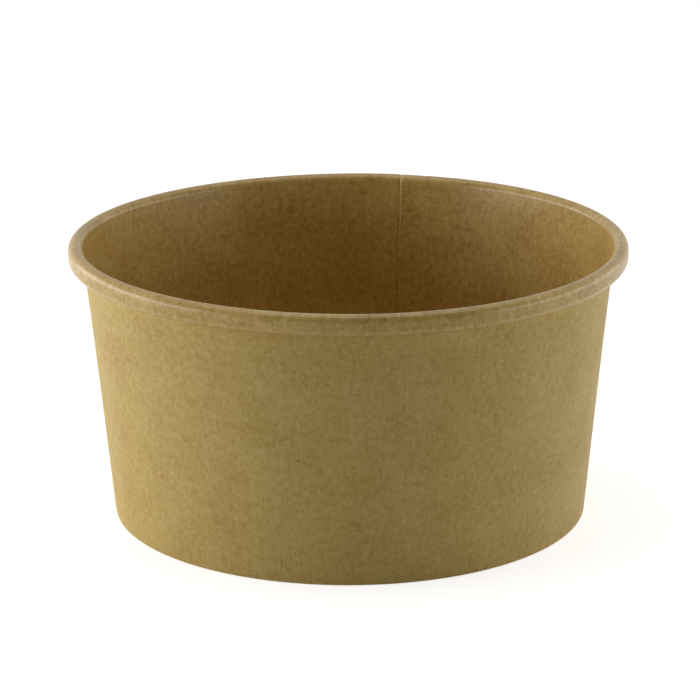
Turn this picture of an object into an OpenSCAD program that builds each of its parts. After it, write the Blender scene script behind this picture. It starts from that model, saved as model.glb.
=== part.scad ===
// Kraft paper salad bowl: a tapered side wall rolled from one sheet, with a lap seam,
// a rolled rim and a folded foot that grips the skirt of a round base disc.
// Millimetres. The bowl stands on z = 0 with its axis on Z, and +Y points away from the viewer.

/* [Bowl] */
// Outside diameter over the rolled rim
rim_d = 150; // [145:1:165]
// Outside diameter of the foot, where the wall meets the table
base_d = 128; // [118:1:132]
// Overall height
height = 75; // [55:1:95]

/* [Board] */
// Thickness of the side wall's board
wall_t = 0.45; // [0.35:0.05:0.6]
// Thickness of the base disc's board
base_t = 0.4; // [0.35:0.05:0.5]
// Clearance of the seal film between the wall, the skirt and the hem
film = 0.02; // [0.01:0.01:0.04]

/* [Rolled rim] */
// Width of the roll, from the wall's inner face to its outermost point
roll_w = 4.5; // [4.4:0.1:5]
// Height of the roll
roll_h = 5.7; // [5.5:0.1:6.5]
// Inside radius of the bend at the top of the wall
roll_bend_r = 1.75; // [1.4:0.05:1.75]
// Outside radius of the roll's round
roll_r = 2.2; // [2.1:0.05:2.4]
// Outside radius of the curl that tucks the edge in
tuck_r = 1.5; // [1.2:0.1:1.8]
// How far the tucked edge turns up past the wall, in degrees
tuck_turn = 80; // [20:5:120]
// Gap between the tucked curl and the wall
tuck_gap = 0.15; // [0.1:0.05:0.3]

/* [Lap seam] */
// Compass angle of the cut edge that shows inside the bowl, from +X
seam_at = 78; // [0:1:359]
// Angle that the two ends of the sheet overlap
lap_angle = 7; // [4:0.5:14]

/* [Foot] */
// Height of the base disc's underside above the table
recess = 8; // [6:0.5:12]
// How far the folded hem stops short of the base disc
hem_clear = 0.8; // [0.4:0.1:2]
// Inside radius of the pressed fold at the foot
fold_bend_r = 0.05; // [0.02:0.01:0.1]
// Gap between the skirt's lower edge and the fold
skirt_gap = 0.3; // [0.1:0.1:1]
// Inside radius where the base disc bends down into its skirt
disc_bend_r = 0.5; // [0.2:0.1:1.5]

/* [Hidden] */
$fn = 120;

// Outside radii of the bends
fold_r = fold_bend_r + wall_t;
top_r = roll_bend_r + wall_t;
disc_r = disc_bend_r + base_t;

// The wall's lean is the one that takes its inner face from the foot to the roll
bend_z = height - top_r;
bend_in = rim_d / 2 - roll_w - base_d / 2;
taper = atan2(bend_in, bend_z) + asin(wall_t / norm([bend_in, bend_z]));

// Thickness of the pressed foot: wall, skirt and hem
foot_t = 2 * wall_t + base_t + 2 * film;

function dir(a) = [cos(a), sin(a)];

// Radius at height z of a face that runs parallel to the wall, d inside its outer face
function lean(z, d) = base_d / 2 + z * tan(taper) - d / cos(taper);
function face(z, d) = [lean(z, d), z];

// Distance of a point from the wall's outer face, outwards
function stand_off(p) = (p - face(0, 0)) * dir(-taper);

// Centres of the bends, in the section plane: x is the radius and y the height
fold_out = face(fold_r, fold_r);
fold_in = face(fold_r, foot_t - fold_r);
bend_c = face(bend_z, wall_t - top_r);
roll_c = [rim_d / 2 - roll_r, height - roll_h + roll_r];

// The flank is the common tangent of the top bend and the roll
span = roll_c - bend_c;
flank_a = atan2(span.y, span.x) + acos((top_r - roll_r) / norm(span));

// The tucked curl starts where its circle, inside the roll's, clears the wall by the gap
tuck_a = -taper - acos((tuck_r + tuck_gap - stand_off(roll_c)) / (roll_r - tuck_r));
tuck_c = roll_c + (roll_r - tuck_r) * dir(tuck_a);
tuck_end = -180 - taper - tuck_turn;

// The sheet runs round as a two-centre spiral: the second half turns about an axis that is
// half a board nearer the start, so that its end lies against the inside of the first half.
// Glued plies sink into each other by the bond, which makes the two ends one solid.
bond = 0.004;
half_step = round(500 * (wall_t / cos(taper) - bond)) / 1000;

// Where the floor strips of the wall and of the hem end, each past the other
floor_mid = (fold_in.x + fold_out.x) / 2;
floor_lap = (fold_out.x - fold_in.x) / 6;

function arc(centre, r, from, to, steps) =
    [for (i = [0:steps]) centre + r * dir(from + (to - from) * i / steps)];

function reversed(list) = [for (i = [len(list) - 1:-1:0]) list[i]];

// One face of the wall's board, from the floor to the tucked edge: depth 0 is the face that
// is outside on the wall and inside the roll, and depth wall_t is the other
function wall_face(depth) = concat(
    [[floor_mid - floor_lap, depth]],
    arc(fold_out, fold_r - depth, 270, 360 - taper, 6),
    arc(bend_c, top_r - wall_t + depth, 180 - taper, 90, 8),
    arc(bend_c, top_r - wall_t + depth, 90, flank_a, 8),
    arc(roll_c, roll_r - wall_t + depth, flank_a, tuck_a, 14),
    arc(tuck_c, tuck_r - wall_t + depth, tuck_a, tuck_end, 18));

// One face of the hem's board, from the floor to its cut edge
function hem_face(depth) = concat(
    [[floor_mid + floor_lap, depth]],
    arc(fold_in, fold_r - depth, 270, 180 - taper, 6),
    [face(recess - hem_clear, foot_t - depth)]);

module wall_section() polygon(concat(wall_face(0), reversed(wall_face(wall_t))));

module hem_section() polygon(concat(hem_face(0), reversed(hem_face(wall_t))));

// The inner ply of the lap, from the floor to the crown, where it runs out over the outer ply.
// Its hidden side ends in the middle of the outer ply, which stands 2 * half_step further out.
module lap_section()
    polygon(concat(
        [face(wall_t / 2, 0), face(wall_t / 2, wall_t)],
        arc(bend_c, top_r, 180 - taper, 90, 8),
        arc(bend_c + [2 * half_step, 0], roll_bend_r + wall_t / 2, 90, 180 - taper, 8),
        [face(bend_z, 0)]));

// The base disc's edge: flat, bend and skirt
module disc_section()
    polygon(concat(
        [[0, recess + base_t]],
        arc([lean(recess + base_t - disc_r, wall_t + film + disc_r), recess + base_t - disc_r],
            disc_r, 90, -taper, 8),
        [face(wall_t + skirt_gap, wall_t + film)],
        [face(wall_t + skirt_gap, wall_t + film + base_t)],
        arc([lean(recess + base_t - disc_r, wall_t + film + disc_r), recess + base_t - disc_r],
            disc_bend_r, -taper, 90, 8),
        [[0, recess]]));

module swept(from, to) rotate_extrude(angle = to - from, start = from) children();

// A section taken round the spiral's second centre
module swept_second(from, to)
    translate([half_step, 0, 0]) swept(from, to) translate([-half_step, 0]) children();

// Puts the seam in its place: the spiral is drawn with its outer cut edge on -X
module turned() rotate([0, 0, seam_at + 180 - lap_angle]) mirror([0, 1, 0]) children();

// Floor of the fold where the wall stands further out than the hem
module floor_fill()
    difference() {
        swept(0, 180)
            translate([fold_in.x - 2 * half_step, 0])
                square([floor_mid - fold_in.x + 2 * half_step, wall_t]);
        translate([half_step, 0, -wall_t])
            cylinder(r = floor_mid - floor_lap - half_step, h = 3 * wall_t);
    }

module side_wall()
    color([0.72, 0.62, 0.42])
        turned() {
            swept(0, 180 - lap_angle) wall_section();
            swept(180 - lap_angle, 180) {
                wall_section();
                translate([-2 * half_step, 0]) lap_section();
            }
            swept_second(180, 360) wall_section();
            swept_second(0, 360) hem_section();
            floor_fill();
        }

module base_disc()
    color([0.66, 0.55, 0.36])
        turned()
            translate([half_step, 0, 0])
                rotate_extrude() intersection() {
                    translate([-half_step, 0]) disc_section();
                    square([base_d, height]);
                }

side_wall();
base_disc();
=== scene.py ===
import math

import bmesh
import bpy
from mathutils import Matrix, Vector


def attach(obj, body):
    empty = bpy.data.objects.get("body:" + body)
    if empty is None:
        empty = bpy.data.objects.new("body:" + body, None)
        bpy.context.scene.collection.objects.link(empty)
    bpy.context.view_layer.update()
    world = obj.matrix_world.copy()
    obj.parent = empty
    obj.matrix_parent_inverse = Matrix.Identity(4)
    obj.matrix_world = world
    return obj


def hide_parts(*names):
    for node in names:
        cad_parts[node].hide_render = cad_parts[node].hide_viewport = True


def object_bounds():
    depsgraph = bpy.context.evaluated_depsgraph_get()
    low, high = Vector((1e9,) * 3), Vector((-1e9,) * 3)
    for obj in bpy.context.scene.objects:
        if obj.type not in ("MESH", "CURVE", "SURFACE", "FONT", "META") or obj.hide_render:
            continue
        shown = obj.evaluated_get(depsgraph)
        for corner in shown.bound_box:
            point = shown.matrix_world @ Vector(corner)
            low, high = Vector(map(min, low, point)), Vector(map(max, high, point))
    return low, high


mm = 0.001
fullTurn = 360

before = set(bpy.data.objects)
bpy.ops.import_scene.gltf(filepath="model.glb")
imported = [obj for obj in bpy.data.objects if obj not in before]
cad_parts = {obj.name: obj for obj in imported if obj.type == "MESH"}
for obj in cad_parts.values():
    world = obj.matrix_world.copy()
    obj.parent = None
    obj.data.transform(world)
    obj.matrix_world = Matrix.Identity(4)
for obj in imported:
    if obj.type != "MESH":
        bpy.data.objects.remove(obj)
cadLow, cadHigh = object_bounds()
print("frame loaded:", ", ".join(sorted(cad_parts)))


# The camera stands where the photograph was taken from
shot = {
    "distance": 853.7,
    "elevation": 19.855,
    "lookDown": 17.092,
    "turnRight": 0.002,
    "tilt": -0.226,
    "lens": 160.1,
    "sensor": 36.0,
}


def placeCamera():
    camData = bpy.data.cameras.new("bowlCamera")
    camData.lens = shot["lens"]
    camData.sensor_width = shot["sensor"]
    camera = bpy.data.objects.new("bowlCamera", camData)
    bpy.context.scene.collection.objects.link(camera)
    rise = math.radians(shot["elevation"])
    reach = shot["distance"] * mm
    stand = Matrix.Translation((0, -reach * math.cos(rise), reach * math.sin(rise)))
    turn = Matrix.Rotation(math.radians(-shot["turnRight"]), 4, "Z")
    pitch = Matrix.Rotation(math.radians(90 - shot["lookDown"]), 4, "X")
    tilt = Matrix.Rotation(math.radians(shot["tilt"]), 4, "Z")
    camera.matrix_world = stand @ turn @ pitch @ tilt
    bpy.context.scene.camera = camera


def newNode(tree, kind, **settings):
    node = tree.nodes.new(kind)
    for name, value in settings.items():
        setattr(node, name, value)
    return node


# Puts a number, a vector or another node's output into a socket
def feed(tree, socket, value):
    if isinstance(value, bpy.types.NodeSocket):
        tree.links.new(value, socket)
    else:
        socket.default_value = value


def maths(tree, operation, first, second=0.0):
    node = newNode(tree, "ShaderNodeMath", operation=operation)
    feed(tree, node.inputs[0], first)
    feed(tree, node.inputs[1], second)
    return node.outputs[0]


def spread(tree, value, low, high, toLow=0.0, toHigh=1.0, curve="SMOOTHSTEP"):
    node = newNode(tree, "ShaderNodeMapRange", interpolation_type=curve)
    feed(tree, node.inputs["Value"], value)
    for label, number in (("From Min", low), ("From Max", high), ("To Min", toLow), ("To Max", toHigh)):
        feed(tree, node.inputs[label], number)
    return node.outputs["Result"]


def placeMesh(bm, name):
    mesh = bpy.data.meshes.new(name)
    bm.to_mesh(mesh)
    bm.free()
    piece = bpy.data.objects.new(name, mesh)
    bpy.context.scene.collection.objects.link(piece)
    return piece


# Soft boxes on both sides, the left ones stronger, and a wide one overhead
studio = {
    "frontShine": 0.08,  # how bright the room is in reflections, on the camera's side
    "backShine": 1.0,  # and behind the bowl
    "shineTurn": (-0.4, 0.2),  # where one passes into the other, from front to back
    "floorWide": 6000.0,
    "floorColour": (0.82, 0.82, 0.81),
    "floorLift": 0.72,
    "aimHigh": 40.0,
    "boxes": {
        "leftBack": {"at": (-850, 400, 200), "wide": 700, "tall": 400, "power": 2.8},
        "leftFront": {"at": (-900, -200, 200), "wide": 700, "tall": 400, "power": 4.2},
        "rightBack": {"at": (850, 400, 200), "wide": 700, "tall": 400, "power": 1.5},
        "rightFront": {"at": (900, -200, 200), "wide": 700, "tall": 400, "power": 2.35},
        "overhead": {"at": (0, 150, 1100), "wide": 1200, "tall": 1000, "power": 5.0},
    },
}


def addSoftBox(name, box):
    lampData = bpy.data.lights.new(name, "AREA")
    lampData.shape = "RECTANGLE"
    lampData.size = box["wide"] * mm
    lampData.size_y = box["tall"] * mm
    lampData.energy = box["power"]
    lamp = bpy.data.objects.new(name, lampData)
    bpy.context.scene.collection.objects.link(lamp)
    place = Vector(box["at"]) * mm
    aim = Vector((0, 0, studio["aimHigh"])) * mm - place
    lamp.matrix_world = Matrix.Translation(place) @ aim.to_track_quat("-Z", "Y").to_matrix().to_4x4()


# White to the camera; in reflections it is white behind the bowl and darker on the camera's side
def lightWorld():
    world = bpy.data.worlds.new("paleRoom")
    bpy.context.scene.world = world
    world.use_nodes = True
    tree = world.node_tree
    tree.nodes.clear()
    path = newNode(tree, "ShaderNodeLightPath")
    shiny = maths(tree, "MAXIMUM", path.outputs["Is Glossy Ray"], path.outputs["Is Transmission Ray"])
    parts = newNode(tree, "ShaderNodeSeparateXYZ")
    feed(tree, parts.inputs[0], newNode(tree, "ShaderNodeTexCoord").outputs["Generated"])
    front, back = studio["shineTurn"]
    side = spread(tree, parts.outputs["Y"], front, back, studio["frontShine"], studio["backShine"], "LINEAR")
    level = maths(tree, "MAXIMUM", path.outputs["Is Camera Ray"], maths(tree, "MULTIPLY", shiny, side))
    sky = newNode(tree, "ShaderNodeBackground")
    feed(tree, sky.inputs["Strength"], level)
    out = newNode(tree, "ShaderNodeOutputWorld")
    feed(tree, out.inputs["Surface"], sky.outputs[0])


# A matt floor that keeps the bowl's shadow, lifted towards white for the camera and in reflections
def layFloor():
    bm = bmesh.new()
    bmesh.ops.create_grid(bm, x_segments=1, y_segments=1, size=studio["floorWide"] * mm / 2)
    floor = placeMesh(bm, "floor")
    mat = bpy.data.materials.new("paleFloor")
    mat.use_nodes = True
    tree = mat.node_tree
    tree.nodes.clear()
    matt = newNode(tree, "ShaderNodeBsdfDiffuse")
    matt.inputs["Color"].default_value = (*studio["floorColour"], 1)
    path = newNode(tree, "ShaderNodeLightPath")
    seen = maths(tree, "MAXIMUM", path.outputs["Is Camera Ray"], path.outputs["Is Glossy Ray"])
    glow = newNode(tree, "ShaderNodeEmission")
    feed(tree, glow.inputs["Strength"], maths(tree, "MULTIPLY", seen, studio["floorLift"]))
    both = newNode(tree, "ShaderNodeAddShader")
    feed(tree, both.inputs[0], matt.outputs[0])
    feed(tree, both.inputs[1], glow.outputs[0])
    out = newNode(tree, "ShaderNodeOutputMaterial")
    feed(tree, out.inputs["Surface"], both.outputs[0])
    floor.data.materials.append(mat)


# The side wall: driving sizes as a maker gives them; rim and height come from the frame
sideWall = {
    "board": 0.45,
    "rimRadius": -cadLow.x / mm,
    "height": cadHigh.z / mm,
    "footRadius": 64.0,
    "rollWide": 4.5,
    "rollTall": 5.7,
    "rollRound": 2.2,
    "topBend": 2.0,
    "flare": 0.5,
    "flareTall": 14.0,
    "curlRound": 1.5,
    "curlTurn": 80.0,
    "curlGap": 0.15,
    "hemTop": 7.2,
    "foldRound": 0.5,
    "footThick": 1.34,
    "seamAt": 78.0,
    "lap": 7.0,
    "plyGap": 0.006,
    "tuckIn": 1.0,  # turn over which the hidden ply dives under the other at the rim
    "nestFrom": 0.8125,  # share of the height where it starts to, and how much of it that takes
    "nestTall": 0.125,
    "rimPress": 0.25,  # what the press leaves of the step between the plies on the roll
    "pressRows": 6,
    "leastRound": 0.2,  # radius that a ply keeps when it is pressed into a bend
    "knurlDeep": 0.05,
    "knurlEvery": 3.0,
    "closeFrom": 353.0,  # turn from which the columns stand closer, for the seam
    "columns": {"lap": 14, "round": 440, "close": 56},
    "rows": {"hem": 5, "fold": 5, "face": 20, "top": 10, "shoulder": 9, "bead": 12, "tuck": 11},
    "merge": 1e-4,
}
freeRoom = 10  # room of a straight stretch, which has no bend to limit it
sameTurn = 0.01  # turns closer than this are the same column

# Small waves of the paper rim, in full at its top and none at the foot
waves = {
    "inwards": 0.2,
    "threeLobes": 0.13,
    "towardsLeft": 0.05,
    "down": 0.3,
    "atBack": 0.22,
    "saddle": 0.2,
    "saddleTurn": 19.0,
}

baseDisc = {
    "board": 0.4,
    "film": 0.02,
    "underside": 8.0,
    "skirtFoot": 0.75,
    "edgeBend": 0.9,
    "dome": 0.25,
    "roundSteps": 240,
    "flatSteps": 16,
    "bendSteps": 8,
    "skirtSteps": 4,
    "merge": 1e-3,
}


def cosine(angle):
    return math.cos(math.radians(angle))


def compass(angle):
    return Vector((cosine(angle), math.sin(math.radians(angle))))


# Lean of the wall: its inner face runs straight from the foot to the bend under the rim
bendAt = sideWall["height"] - sideWall["topBend"]
bendIn = sideWall["rimRadius"] - sideWall["rollWide"] - sideWall["footRadius"]
lean = math.degrees(math.atan2(bendIn, bendAt) + math.asin(sideWall["board"] / math.hypot(bendIn, bendAt)))

# Half the step that the sheet makes inwards on its way round, and the round axis of the disc
halfStep = (sideWall["board"] + sideWall["plyGap"]) / 2
discTurn = sideWall["seamAt"] - sideWall["lap"] + 180
discAxis = compass(discTurn) * halfStep


# How far the wall flares outwards on its way up into the roll
def flareAt(height):
    return sideWall["flare"] * math.exp((height - bendAt) / sideWall["flareTall"])


# A point that lies a given depth inside the wall's outer face
def wallPoint(height, depth):
    radius = sideWall["footRadius"] + height * math.tan(math.radians(lean)) + flareAt(height)
    return Vector((radius - depth / cosine(lean), height))


# Rows along an arc: each row is a point of the board's middle line and its outer face's direction
def arcRows(centre, radius, start, end, steps, faceOut):
    rows = []
    room = radius - sideWall["leastRound"] if faceOut < 0 else freeRoom
    for i in range(steps + 1):
        way = compass(start + (end - start) * i / steps)
        rows.append({"at": centre + way * radius, "out": way * faceOut, "room": room})
    return rows


# Evenly spaced rows from a point up to the first row of what follows, that row left out
def stretchRows(start, nextRow, steps):
    rows = []
    for i in range(steps):
        rows.append({"at": start.lerp(nextRow["at"], i / steps), "out": nextRow["out"], "room": freeRoom})
    return rows


# The whole section from the hem's cut edge, round the fold, up the wall and round the roll
def wallRows():
    w = sideWall
    count = w["rows"]
    half = w["board"] / 2
    foldIn = wallPoint(w["foldRound"], w["footThick"] - w["foldRound"])
    foldOut = wallPoint(w["foldRound"], w["foldRound"])
    bend = wallPoint(w["height"] - w["topBend"], w["board"] - w["topBend"])
    roll = Vector((w["rimRadius"] - w["rollRound"], w["height"] - w["rollTall"] + w["rollRound"]))

    # The flank is the common tangent of the top bend and the roll, and the curl starts clear of the wall
    span = roll - bend
    turnIn = math.acos((w["topBend"] - w["rollRound"]) / span.length)
    flank = math.degrees(math.atan2(span.y, span.x) + turnIn)
    standOff = (roll - wallPoint(0, 0)).dot(compass(-lean)) - flareAt(roll.y - w["rollRound"])
    curlReach = (w["curlRound"] + w["curlGap"] - standOff) / (w["rollRound"] - w["curlRound"])
    curlStart = -lean - math.degrees(math.acos(curlReach))
    curlEnd = -180 - lean - w["curlTurn"]
    curl = roll + compass(curlStart) * (w["rollRound"] - w["curlRound"])

    fold = arcRows(foldIn, w["foldRound"] - half, 180 - lean, 270, count["fold"], 1)
    hem = stretchRows(wallPoint(w["hemTop"], w["footThick"] - half), fold[0], count["hem"])
    foot = arcRows(foldOut, w["foldRound"] - half, 270, 360 - lean, count["fold"], 1)
    top = arcRows(bend, w["topBend"] - half, 180 - lean, 90, count["top"], -1)
    face = stretchRows(foot[-1]["at"], top[0], count["face"])[1:]
    for row in face:
        row["at"].x += flareAt(row["at"].y) - flareAt(bendAt) * (row["at"].y / bendAt)
    shoulder = arcRows(bend, w["topBend"] - half, 90, flank, count["shoulder"], -1)[1:]
    bead = arcRows(roll, w["rollRound"] - half, flank, curlStart, count["bead"], -1)
    tucked = arcRows(curl, w["curlRound"] - half, curlStart, curlEnd, count["tuck"], -1)[1:]

    marks = {"hem": len(hem) + len(fold) - 1}
    marks["wall"] = marks["hem"] + len(foot)
    marks["rim"] = marks["wall"] + len(face) + 1
    return hem + fold + foot + face + top + shoulder + bead + tucked, marks


# How far up the sheet each row lies
def rowLengths(rows):
    lengths = [0]
    for i in range(1, len(rows)):
        lengths.append(lengths[-1] + (rows[i]["at"] - rows[i - 1]["at"]).length)
    return lengths


# Turn of each column of the sheet, closer together at its two ends, where the lap is
def sheetTurns():
    lap, closeFrom, count = sideWall["lap"], sideWall["closeFrom"], sideWall["columns"]
    turns = [lap * i / count["lap"] for i in range(count["lap"])]
    turns += [lap + (closeFrom - lap) * i / count["round"] for i in range(count["round"])]
    room = fullTurn + lap - closeFrom
    turns += [closeFrom + room * i / count["close"] for i in range(count["close"] + 1)]
    return turns


def ease(x):
    x = min(max(x, 0), 1)
    return x * x * (3 - 2 * x)


# Where a row of the sheet lands at a given turn, clockwise from the cut edge that shows inside
def rolledUp(row, index, marks, turn):
    w = sideWall
    angle = w["seamAt"] - turn
    if index <= marks["hem"]:
        shift = -halfStep * (1 - cosine(angle - discTurn))
        knurl = w["knurlDeep"] * math.sin(math.radians(fullTurn * turn / w["knurlEvery"]))
        onHem = 1 if index < w["rows"]["hem"] else 0
        at = row["at"] + row["out"] * (knurl * onHem)
    else:
        up = (row["at"].y / w["height"] - w["nestFrom"]) / w["nestTall"]
        nested = ease((turn - fullTurn + w["tuckIn"]) / w["tuckIn"]) * ease(up)
        pressed = 1 - (1 - w["rimPress"]) * ease((index - marks["rim"]) / w["pressRows"])
        at = row["at"] + row["out"] * (min(2 * halfStep * pressed, row["room"]) * nested)
        shift = -halfStep * (1 + cosine(min(max(turn - w["lap"], 0), 180))) - 2 * halfStep * nested
    upness = (row["at"].y - w["board"] / 2) / w["height"]
    way = compass(angle)
    lobes = waves["threeLobes"] * cosine(3 * angle) + waves["towardsLeft"] * way.x
    saddle = waves["saddle"] * cosine(2 * (angle - waves["saddleTurn"]))
    drop = waves["down"] + waves["atBack"] * (1 + way.y) - saddle
    radius = at.x + shift - upness * (waves["inwards"] + lobes)
    return Vector((radius * way.x, radius * way.y, at.y - upness * drop)) * mm


# Radius at which the sheet's own coordinates are measured along it
sheetRadius = (sideWall["rimRadius"] + sideWall["footRadius"]) / 2
wallSection, wallMarks = wallRows()
sectionLengths = rowLengths(wallSection)


# The sheet's own coordinates of a turn and a height on the wall: metres along it and up it
def sheetPlace(turn, height):
    up = sectionLengths[wallMarks["wall"]] + (height - sideWall["foldRound"]) / cosine(lean)
    return Vector((math.radians(turn) * sheetRadius, up, 0)) * mm


# Smooth faces, and the board's thickness on both sides of them
def thicken(piece, board):
    for face in piece.data.polygons:
        face.use_smooth = True
    solid = piece.modifiers.new("board", "SOLIDIFY")
    solid.thickness = board * mm
    solid.offset = 0
    return solid


# A flat grid of rows and columns, each vertex taken to its place on the rolled sheet
def makeSideWall():
    turns = sheetTurns()
    columns, rows = len(turns) - 1, len(wallSection) - 1
    bm = bmesh.new()
    gridHalf = 0.5
    bmesh.ops.create_grid(bm, x_segments=columns, y_segments=rows, size=gridHalf)
    sheet = bm.verts.layers.float_vector.new("sheet")
    spare = []
    for vert in bm.verts:
        turn = turns[round((vert.co.x + gridHalf) * columns)]
        row = round((vert.co.y + gridHalf) * rows)
        if turn < sideWall["lap"] - sameTurn and row < wallMarks["wall"]:
            spare.append(vert)  # the inner ply of the lap has no foot or hem
        vert[sheet] = Vector((math.radians(turn) * sheetRadius, sectionLengths[row], 0)) * mm
        vert.co = rolledUp(wallSection[row], row, wallMarks, turn)
    bmesh.ops.delete(bm, geom=spare, context="VERTS")
    bmesh.ops.remove_doubles(bm, verts=bm.verts, dist=sideWall["merge"] * mm)
    piece = placeMesh(bm, "rolled_wall")
    solid = thicken(piece, sideWall["board"])
    solid.material_offset = 1
    solid.material_offset_rim = 2
    return piece


# Half a section of the disc, from its middle to the skirt's edge, spun round the disc's own axis
def makeBaseDisc():
    d = baseDisc
    half = d["board"] / 2
    top = d["underside"] + d["board"]
    depth = sideWall["board"] + d["film"]
    bend = wallPoint(top - d["edgeBend"], depth + d["edgeBend"])
    edge = [row["at"] for row in arcRows(bend, d["edgeBend"] - half, 90, -lean, d["bendSteps"], 1)]
    flat = edge[0].x
    inner = [Vector((flat * i / d["flatSteps"], edge[0].y)) for i in range(d["flatSteps"])]
    skirtEnd = wallPoint(d["skirtFoot"], depth + half)
    skirt = [edge[-1].lerp(skirtEnd, (i + 1) / d["skirtSteps"]) for i in range(d["skirtSteps"])]
    bm = bmesh.new()
    centre = Vector((discAxis.x, discAxis.y, 0)) * mm
    verts = []
    for p in inner + edge + skirt:
        rise = d["dome"] * (1 + math.cos(math.pi * p.x / flat)) / 2 if p.x < flat else 0
        verts.append(bm.verts.new(centre + Vector((p.x - halfStep, 0, p.y + rise)) * mm))
    verts[0].co.x = centre.x
    edges = [bm.edges.new((verts[i], verts[i + 1])) for i in range(len(verts) - 1)]
    bmesh.ops.spin(bm, geom=verts + edges, cent=centre, axis=(0, 0, 1), angle=2 * math.pi,
                   steps=d["roundSteps"], use_merge=True)
    bmesh.ops.remove_doubles(bm, verts=bm.verts, dist=d["merge"] * mm)
    bmesh.ops.recalc_face_normals(bm, faces=bm.faces)
    piece = placeMesh(bm, "raised_base")
    thicken(piece, d["board"])
    return piece


# Tones are linear colours, and the swing is how far each of their channels goes between dark
# and pale pulp, so that the dark pulp is the warmer one
kraft = {
    "outside": {
        "tone": (0.546, 0.385, 0.116),
        "swing": (0.28, 0.41, 0.75),
        "roughness": 0.58,
        "specular": 0.36,
        "relief": 0.25,
    },
    "filmSide": {
        "tone": (0.578, 0.382, 0.112),
        "swing": (0.42, 0.6, 1.0),
        "roughness": 0.3,
        "specular": 0.42,
        "relief": 0.15,
    },
    # The cut edges' tone is that of raw fibres, turned down as painted shade for the seam's edge under the
    # rim's bend
    "cutEdge": {
        "tone": (0.43, 0.31, 0.12),
        "swing": (0.4, 0.5, 0.8),
        "roughness": 0.85,
        "specular": 0.2,
        "relief": 0.6,
    },
    "contrast": 0.95,
    "cloudWide": 13.0,
    "cloudShare": 0.5,
    "pulpWide": 1.7,
    "pulpLong": 2.125,
    "pulpDetail": 5.0,
    "pulpRough": 0.82,
    "pulpShare": 1.6,
    "grainWide": 0.55,
    "grainLong": 7.0,
    "grainShare": 0.25,
    "fibreWide": 0.14,
    "fibreLong": 2.2,
    "fibreTurns": [(12, 1.0), (-34, 1.0), (68, -1.0), (-80, 1.0), (24, -1.0)],  # and pale or dark
    "fibreCut": (0.62, 0.74),
    "fibreShare": 0.3,
    "fleckEvery": 7.0,
    "fleckLong": 9.8,
    "fleckWide": 0.16,
    "flecks": [{"share": 0.16, "level": 0.5, "turn": 25.0}, {"share": 0.1, "level": 1.25, "turn": 62.5}],
    "reliefDeep": 0.03,
    "pulpRelief": 0.6,
    "fibreRelief": 0.4,
}
noiseMiddle = 0.5
metre = (1000, 1000, 1000)


# A pattern's coordinates, one unit of them as long as the given size on the piece
def stretched(tree, place, size, turn=0.0):
    node = newNode(tree, "ShaderNodeMapping", vector_type="TEXTURE")
    feed(tree, node.inputs["Vector"], place)
    node.inputs["Scale"].default_value = Vector(size) * mm
    node.inputs["Rotation"].default_value = (0, 0, math.radians(turn))
    return node.outputs["Vector"]


def noiseAt(tree, place, detail=1.0, roughness=0.5):
    node = newNode(tree, "ShaderNodeTexNoise")
    feed(tree, node.inputs["Vector"], place)
    node.inputs["Scale"].default_value = 1.0
    node.inputs["Detail"].default_value = detail
    node.inputs["Roughness"].default_value = roughness
    return node.outputs["Fac"]


# The colour sockets of a Mix node are its inputs 6 and 7 and its output 2
def mixTone(tree, factor, first, second, blend="MIX"):
    node = newNode(tree, "ShaderNodeMix", data_type="RGBA", blend_type=blend)
    feed(tree, node.inputs[0], factor)
    feed(tree, node.inputs[6], first)
    feed(tree, node.inputs[7], second)
    return node.outputs[2]


def grey(level):
    return (level, level, level, 1)


def newGroup(name, takes, gives):
    group = bpy.data.node_groups.new(name, "ShaderNodeTree")
    for label, kind, value in takes:
        socket = group.interface.new_socket(name=label, in_out="INPUT", socket_type=kind)
        if value is not None:
            socket.default_value = value
    for label, kind in gives:
        group.interface.new_socket(name=label, in_out="OUTPUT", socket_type=kind)
    return group, group.nodes.new("NodeGroupInput"), group.nodes.new("NodeGroupOutput")


# Pulp clouds, upright grain and fibres: Shade swings about a half, Relief is for a bump
def makePulpGroup():
    k = kraft
    takes = [("Place", "NodeSocketVector", None), ("Contrast", "NodeSocketFloat", 0.5)]
    gives = [("Shade", "NodeSocketFloat"), ("Relief", "NodeSocketFloat")]
    tree, given, result = newGroup("kraftPulp", takes, gives)
    place = given.outputs["Place"]
    cloud = noiseAt(tree, stretched(tree, place, (k["cloudWide"],) * 3), 2.0)
    pulpSize = (k["pulpWide"], k["pulpLong"], k["pulpWide"])
    pulp = noiseAt(tree, stretched(tree, place, pulpSize), k["pulpDetail"], k["pulpRough"])
    grain = noiseAt(tree, stretched(tree, place, (k["grainWide"], k["grainLong"], k["grainWide"])))
    fibres = 0.0
    for turn, tint in k["fibreTurns"]:
        threads = noiseAt(tree, stretched(tree, place, (k["fibreWide"], k["fibreLong"], 1.0), turn))
        fibres = maths(tree, "ADD", fibres, spread(tree, threads, *k["fibreCut"], 0.0, tint))
    shade = 0.0
    for noise, share in ((cloud, k["cloudShare"]), (pulp, k["pulpShare"]), (grain, k["grainShare"])):
        swing = maths(tree, "MULTIPLY", maths(tree, "SUBTRACT", noise, noiseMiddle), share)
        shade = maths(tree, "ADD", shade, swing)
    shade = maths(tree, "ADD", shade, maths(tree, "MULTIPLY", fibres, k["fibreShare"]))
    shade = maths(tree, "MULTIPLY", shade, given.outputs["Contrast"])
    feed(tree, result.inputs["Shade"], maths(tree, "ADD", shade, noiseMiddle))
    raised = maths(tree, "MULTIPLY", pulp, k["pulpRelief"])
    relief = maths(tree, "ADD", raised, maths(tree, "MULTIPLY", fibres, k["fibreRelief"]))
    feed(tree, result.inputs["Relief"], relief)
    return tree


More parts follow.
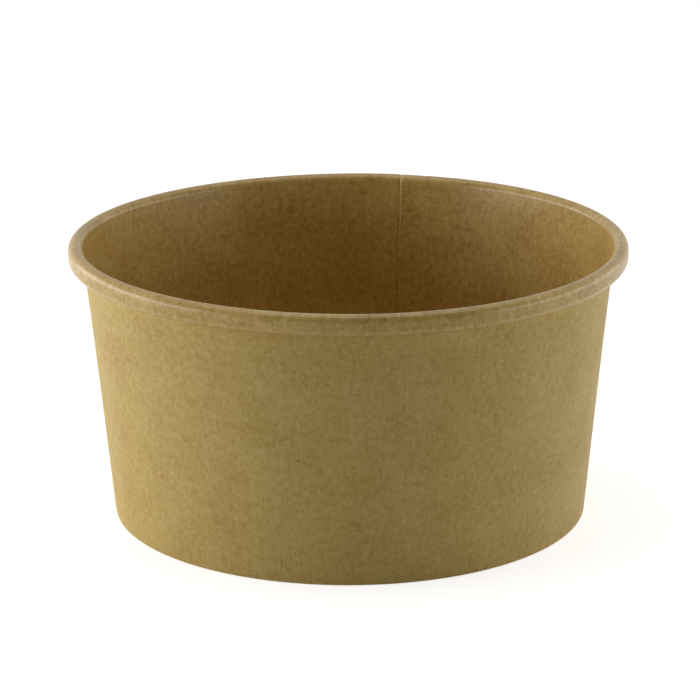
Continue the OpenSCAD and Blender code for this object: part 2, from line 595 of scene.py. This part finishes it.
# Scattered flecks of bark: Mask is one on a fleck
def makeFleckGroup():
    takes = [("Place", "NodeSocketVector", None), ("Share", "NodeSocketFloat", 0.2)]
    tree, given, result = newGroup("barkFlecks", takes, [("Mask", "NodeSocketFloat")])
    cells = newNode(tree, "ShaderNodeTexVoronoi", feature="F1")
    every = kraft["fleckEvery"]
    size = (every, kraft["fleckLong"], every)
    feed(tree, cells.inputs["Vector"], stretched(tree, given.outputs["Place"], size))
    cells.inputs["Scale"].default_value = 1.0
    parts = newNode(tree, "ShaderNodeSeparateColor")
    feed(tree, parts.inputs["Color"], cells.outputs["Color"])
    reach = maths(tree, "MULTIPLY", parts.outputs["Green"], kraft["fleckWide"] / every)
    dot = maths(tree, "LESS_THAN", cells.outputs["Distance"], reach)
    chosen = maths(tree, "LESS_THAN", parts.outputs["Red"], given.outputs["Share"])
    feed(tree, result.inputs["Mask"], maths(tree, "MULTIPLY", dot, chosen))
    return tree


# Single marks, paler and darker spots and stripes on the board: turn and height on the wall, half width,
# half length, how dark
outsideMarks = [
    {"turn": 179.05, "height": 34.5, "wide": 0.32, "long": 0.34, "level": 0.35},
    {"turn": 183.8, "height": 5.1, "wide": 0.13, "long": 1.7, "level": 0.62},
    {"turn": 143.0, "height": 16.4, "wide": 0.2, "long": 0.25, "level": 0.7},
    {"turn": 174.0, "height": 31.5, "wide": 0.25, "long": 0.2, "level": 0.75},
]
filmMarks = [
    {"turn": 333.4, "height": 66.0, "wide": 0.5, "long": 0.25, "level": 0.7},
    {"turn": 45.5, "height": 64.9, "wide": 0.35, "long": 0.2, "level": 1.35},
    {"turn": 37.2, "height": 55.3, "wide": 0.3, "long": 0.3, "level": 0.75},
    {"turn": 49.3, "height": 60.2, "wide": 0.35, "long": 0.25, "level": 0.75},
    {"turn": 171.4, "height": 77.2, "wide": 0.22, "long": 0.22, "level": 0.55},
    # a pale short upright stripe on the roll at the front right
    {"turn": 131.3, "height": 77.8, "wide": 0.22, "long": 1.6, "level": 1.3},
]
markFade = (0.6, 1.15)


def addMarks(tree, place, tone, marks):
    for mark in marks:
        away = newNode(tree, "ShaderNodeVectorMath", operation="SUBTRACT")
        feed(tree, away.inputs[0], place)
        away.inputs[1].default_value = sheetPlace(mark["turn"], mark["height"])
        near = newNode(tree, "ShaderNodeVectorMath", operation="LENGTH")
        feed(tree, near.inputs[0], stretched(tree, away.outputs[0], (mark["wide"], mark["long"], 1.0)))
        mask = spread(tree, near.outputs["Value"], *markFade, 1.0, 0.0)
        tone = mixTone(tree, mask, tone, grey(mark["level"]), "MULTIPLY")
    return tone


# Pressed lines beside the cut edge that shows inside, their light and dark stripes partly painted shade and
# light of their ridges; just before the edge a painted shadow where the ply's edge shades the board, and
# just after it a paler line, partly the paler cut corner and partly painted highlight: place across them in
# mm, and level
seamLinesAndShadeLevels = {
    "beforeEdge": [
        # the last two levels before the edge are painted shadow from the ply's edge
        (-3.0, 0.95), (-2.0, 0.95), (-1.6, 1.02), (-1.15, 0.9), (-0.65, 1.04), (-0.3, 0.8), (0.0, 0.7),
    ],
    # the first two levels after the edge are partly the paler cut corner and partly painted highlight
    "afterEdge": [(0.0, 1.05), (0.35, 1.1), (0.8, 1.0), (1.2, 0.96), (1.9, 1.0), (3.0, 1.0)],
}
rampRoom = 2  # a ramp holds its levels divided by this, which keeps them under one


# The pressed lines with the painted shadow before the cut edge and the painted highlight after it, as one
# colour to multiply by
def seamLinesAndEdgeShade(tree, where):
    parts = newNode(tree, "ShaderNodeSeparateXYZ")
    feed(tree, parts.inputs[0], where)
    tones = []
    for lines, start in (("beforeEdge", sheetPlace(fullTurn, 0).x), ("afterEdge", 0.0)):
        stops = seamLinesAndShadeLevels[lines]
        first, last = stops[0][0], stops[-1][0]
        low, high = start + first * mm, start + last * mm
        ramp = newNode(tree, "ShaderNodeValToRGB")
        ramp.color_ramp.interpolation = "EASE"
        for index, (way, level) in enumerate(stops):
            spot = (way - first) / (last - first)
            if index in (0, 1):
                stop = ramp.color_ramp.elements[index]
                stop.position = spot
            else:
                stop = ramp.color_ramp.elements.new(spot)
            stop.color = grey(level / rampRoom)
        feed(tree, ramp.inputs[0], spread(tree, parts.outputs["X"], low, high, curve="LINEAR"))
        tones.append(ramp.outputs["Color"])
    both = mixTone(tree, 1.0, tones[0], tones[1], "MULTIPLY")
    return mixTone(tree, 1.0, both, grey(rampRoom ** 2), "MULTIPLY")


# Board of one finish; the place is the sheet's own attribute or the object's coordinates
def boardMaterial(name, finish, place, marks=(), seam=False):
    mat = bpy.data.materials.new(name)
    mat.use_nodes = True
    tree = mat.node_tree
    skin = tree.nodes["Principled BSDF"]
    if place == "sheet":
        where = newNode(tree, "ShaderNodeAttribute", attribute_name="sheet").outputs["Vector"]
    else:
        where = newNode(tree, "ShaderNodeTexCoord").outputs["Object"]
    pulp = newNode(tree, "ShaderNodeGroup", node_tree=pulpGroup)
    feed(tree, pulp.inputs["Place"], where)
    pulp.inputs["Contrast"].default_value = kraft["contrast"]
    dark = [tone * (1 - swing) for tone, swing in zip(finish["tone"], finish["swing"])]
    pale = [tone * (1 + swing) for tone, swing in zip(finish["tone"], finish["swing"])]
    tone = mixTone(tree, pulp.outputs["Shade"], (*dark, 1), (*pale, 1))
    for kind in kraft["flecks"]:
        flecks = newNode(tree, "ShaderNodeGroup", node_tree=fleckGroup)
        feed(tree, flecks.inputs["Place"], stretched(tree, where, metre, kind["turn"]))
        flecks.inputs["Share"].default_value = kind["share"]
        tone = mixTone(tree, flecks.outputs["Mask"], tone, grey(kind["level"]), "MULTIPLY")
    tone = addMarks(tree, where, tone, marks)
    # On the film side the seam's pressed lines and their painted shadow and highlight at the cut edge
    if seam:
        tone = mixTone(tree, 1.0, tone, seamLinesAndEdgeShade(tree, where), "MULTIPLY")
    feed(tree, skin.inputs["Base Color"], tone)
    bump = newNode(tree, "ShaderNodeBump")
    bump.inputs["Strength"].default_value = finish["relief"]
    bump.inputs["Distance"].default_value = kraft["reliefDeep"] * mm
    feed(tree, bump.inputs["Height"], pulp.outputs["Relief"])
    feed(tree, skin.inputs["Normal"], bump.outputs["Normal"])
    skin.inputs["Roughness"].default_value = finish["roughness"]
    skin.inputs["Specular IOR Level"].default_value = finish["specular"]
    return mat


placeCamera()
lightWorld()
for boxName, box in studio["boxes"].items():
    addSoftBox(boxName, box)
layFloor()
print("camera, lights and floor placed")

pulpGroup = makePulpGroup()
fleckGroup = makeFleckGroup()

wallPiece = makeSideWall()
wallPiece.data.materials.append(boardMaterial("filmSide", kraft["filmSide"], "sheet", filmMarks, seam=True))
wallPiece.data.materials.append(boardMaterial("kraftSide", kraft["outside"], "sheet", outsideMarks))
wallPiece.data.materials.append(boardMaterial("cutEdge", kraft["cutEdge"], "sheet"))
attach(wallPiece, "root")
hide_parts("side_wall")
print("side wall rolled")

discPiece = makeBaseDisc()
discPiece.data.materials.append(boardMaterial("discBoard", kraft["filmSide"], "object"))
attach(discPiece, "root")
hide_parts("base_disc")
print("base disc pressed")

bpy.context.scene.view_settings.view_transform = "Standard"
